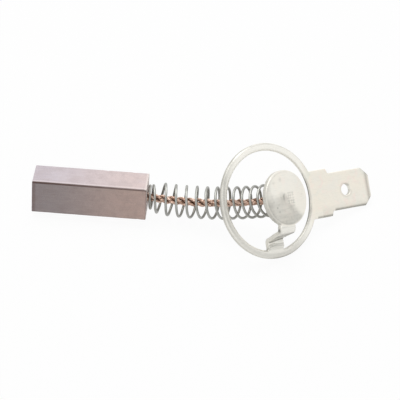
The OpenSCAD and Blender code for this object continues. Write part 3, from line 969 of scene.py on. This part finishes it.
def makeBlock(look):
    half, edge, length = bs["side"] / 2, bs["edge"], bs["length"]
    outer = squareRing(half, edge, look["step"], look["cornerSteps"])
    angles = np.arctan2(outer[:, 1], outer[:, 0])
    hole = bs["socket"] * np.stack([np.cos(angles), np.sin(angles)], 1)
    rings = []

    def ring(x, section):
        rings.append(np.column_stack([np.full(len(section), x), section]))

    bend = np.linspace(0, math.pi / 2, look["cornerSteps"] + 1)
    flatEnd = outer * (half - edge) / half
    ring(-bs["socketDepth"], hole * 0.02)
    ring(-bs["socketDepth"], hole)
    for x in np.linspace(-bs["socketDepth"], 0, 12)[1:]:
        ring(x, hole)
    for t in np.linspace(0, 1, 12)[1:]:
        ring(0, hole + (flatEnd - hole) * t)
    for b in bend[1:]:
        ring(-edge * (1 - math.cos(b)), flatEnd + (outer - flatEnd) * math.sin(b))
    for x in np.linspace(-edge, edge - length, int((length - 2 * edge) / look["step"]) + 1)[1:]:
        ring(x, outer)
    for b in bend[::-1][1:]:
        ring(edge * (1 - math.cos(b)) - length, flatEnd + (outer - flatEnd) * math.sin(b))
    for t in np.linspace(1, 0.02, 22)[1:]:
        ring(-length, flatEnd * t)
    p = np.array(rings)
    faces = skinned(p)
    p = p.reshape(-1, 3)
    middle = np.array([-length / 2, 0, 0])

    # small chips along the edges, cut a little into the material
    rng = np.random.default_rng(look["chipSeed"])
    halves = np.array([length / 2, half, half])
    q = p - middle
    skin = np.sort(halves - np.abs(q), axis=1)[:, 1]  # distance from the nearest edge
    move = look["unevenness"] * (ripples(p, 3.5, 31) + 0.6 * ripples(p * [0.3, 1, 1], 0.7, 32))
    for i in range(look["chips"]):
        axis = rng.integers(0, 3)
        at = halves * rng.choice([-1, 1], 3)
        at[axis] = rng.uniform(-1, 1) * halves[axis]
        size = rng.uniform(*look["chipSize"])
        depth = rng.uniform(*look["chipDepth"])
        away = np.linalg.norm((q - at) / np.where(np.arange(3) == axis, 1.8, 1.0), axis=1) / size
        move -= depth * ease(1 - away) * (1 + 0.5 * ripples(p, 0.3, 50 + i))
    inward = unit(np.where(np.abs(q) > halves - 2.5 * edge, np.sign(q), 0) + 1e-9)
    inHole = np.hypot(p[:, 1], p[:, 2]) < bs["socket"] + 0.05
    onHole = inHole & (p[:, 0] > -bs["socketDepth"] - 0.1)
    p = p + inward * np.where(onHole, 0, np.minimum(move, 0.0))[:, None]
    piece = makePiece("blockBody", brush.out(p), faces)
    addNumbers(piece, "edgeNear", np.clip(1 - skin / 0.35, 0, 1))
    print("block:", len(piece.data.polygons), "faces")
    return piece


def copperGraphite(look):
    f = Finish("copperGraphite", Metallic=0.2, IOR=1.45)
    x, y, z = f.along(brush)
    length, half = bs["length"], bs["side"] / 2
    toSpring = f.ramp(x + length, 1.0, length - 1.0)
    # marks run lengthwise from pressing and grinding
    pressed = f.noise(1.0, 4, 0.6, place=f.joined(x * 0.35, y * 5, z * 5))
    blotches = f.noise(0.6, 4, 0.6, distortion=0.4)
    grain = f.noise(7, 4, 0.7)
    flecks = f.ramp(f.noise(16, 2, 0.5), 0.62, 0.74)
    base = f.colour(toSpring, look["farEnd"], look["springEnd"])
    base = f.colour(f.ramp(blotches, 0.38, 0.68, (0, 0.40)), base, look["blotches"])
    base = f.colour(f.ramp(pressed, 0.42, 0.7, (0, 0.35)), base, look["pressed"])
    base = f.colour(f.ramp(grain, 0.42, 0.7, (0, 0.34)), base, look["grain"])
    # painted shade: two of its sides, the front and back, are darker than the other two
    sideShade = f.larger(f.ramp(y, 0.10 - half, 0.02 - half), f.ramp(y, half - 0.10, half - 0.02))
    sideShadeTint = f.colour(toSpring, look["sideShadeFar"], look["sideShadeNear"])
    base = f.colour(sideShade, base, sideShadeTint, "MULTIPLY")
    base = f.colour(flecks * 0.4, base, look["flecks"])
    # a dark line along the top edges of the front and back sides, with a pale line beside the front edges on the
    # top and bottom
    nearEdge = y * -1 - half  # below 0 by the distance to a ground side
    onPressed = f.larger(f.ramp(z, half - 0.06, half - 0.01), f.ramp(z, 0.06 - half, 0.01 - half))
    base = f.colour(onPressed * f.ramp(nearEdge, -0.95, -0.5) * 0.3, base, look["edgeLinePale"])
    onRound = f.ramp(z, half - 0.16, half - 0.10) * f.ramp(nearEdge, -0.34, -0.22)
    edgeLineDark = f.larger(sideShade * f.ramp(z, half - 0.30, half - 0.12), onRound)
    base = f.colour(edgeLineDark * (1 - 0.25 * toSpring), base, look["edgeLineDark"])
    ends = f.larger(f.ramp(x + length, 0.80, 0.35) * 0.55, f.ramp(f.number("edgeNear"), 0.35, 0.9) * 0.5)
    base = f.colour(ends * sideShade * (0.6 + 0.6 * f.noise(1.3, 3, 0.6)), base, look["ends"])
    paler = f.ramp(f.noise(0.22, 2, 0.5, place=f.joined(x + 2.5, y, z)), 0.50, 0.66) * (1 - sideShade)
    base = f.colour(paler * 0.16, base, look["paler"])
    # painted highlight along the spring end of the top and bottom sides
    base = f.colour(f.ramp(x, -0.5, -0.2) * (1 - sideShade) * 0.5, base, look["rim"])
    rough = look["roughness"] + grain * 0.2 - flecks * 0.1
    height = grain * 0.8 + pressed * 0.5
    f.feed(Base_Color=base, Roughness=rough, Normal=f.bump(height, look["grainHeight"], 0.7))
    return f


fillLook = {
    "cordRadius": 0.63,  # of the way through for the pigtail
    "gap": 0.004,  # to the wall of the socket
    "depth": 4.95,
    "sides": 72,
    "dish": 0.05,  # how far its face lies below the block's, with lumps of two sizes
    "lumps": (0.04, 0.02),
    "roughness": 0.45,
    "grainHeight": 0.03,
    # colours
    "bright": (0.62, 0.34, 0.22, 1),
    "dark": (0.22, 0.10, 0.06, 1),
    "grain": (0.10, 0.06, 0.05, 1),
}


def makeFill(look):
    sides, low = look["sides"], -look["depth"]
    a = 2 * math.pi * np.arange(sides) / sides
    inner, outer = look["cordRadius"], bs["socket"] - look["gap"]
    # radius and height, up the way through, over the face and down the outside
    shape = [(inner, -3.9), (inner, -2), (inner, -0.3), (inner + 0.02, -0.05)]
    shape += [(inner + (outer - inner) * t, 0.0) for t in np.linspace(0.08, 0.92, 9)]
    shape += [(outer, -0.05), (outer, -0.3), (outer, -2), (outer, low + 0.05)]
    shape += [(outer * 0.5, low), (0.05, low), (0.05, low + 0.75), (inner, low + 0.9)]
    rings = np.array([np.stack([np.full(sides, x), r * np.cos(a), r * np.sin(a)], 1) for r, x in shape])
    faces = []
    count = len(shape)
    for i in range(count):
        for j in range(sides):
            b, c = i * sides, (i + 1) % count * sides
            faces.append((b + j, c + j, c + (j + 1) % sides, b + (j + 1) % sides))
    p = rings.reshape(-1, 3)
    face = ease((p[:, 0] + 0.04) / 0.04)
    large, small = look["lumps"]
    p[:, 0] -= face * (look["dish"] + large * ripples(p, 0.5, 71) + small * ripples(p, 0.2, 72))
    return makePiece("fillCopper", brush.out(p), faces)


def tampedCopper(look):
    f = Finish("tampedCopper", Metallic=0.7, IOR=1.5)
    lumps = f.cells(5.5)
    grain = f.noise(9, 4, 0.65)
    base = f.colour(f.ramp(lumps, 0.1, 0.6), look["bright"], look["dark"])
    base = f.colour(f.ramp(grain, 0.5, 0.8, (0, 0.6)), base, look["grain"])
    rough = look["roughness"] + grain * 0.3
    f.feed(Base_Color=base, Roughness=rough, Normal=f.bump(grain - lumps, look["grainHeight"], 0.7))
    return f


blockPiece = makeBlock(blockLook)
copperGraphite(blockLook).put(blockPiece)
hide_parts("carbon_block")
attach(blockPiece, "brush")

fillPiece = makeFill(fillLook)
tampedCopper(fillLook).put(fillPiece)
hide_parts("contact_fill")
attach(fillPiece, "brush")
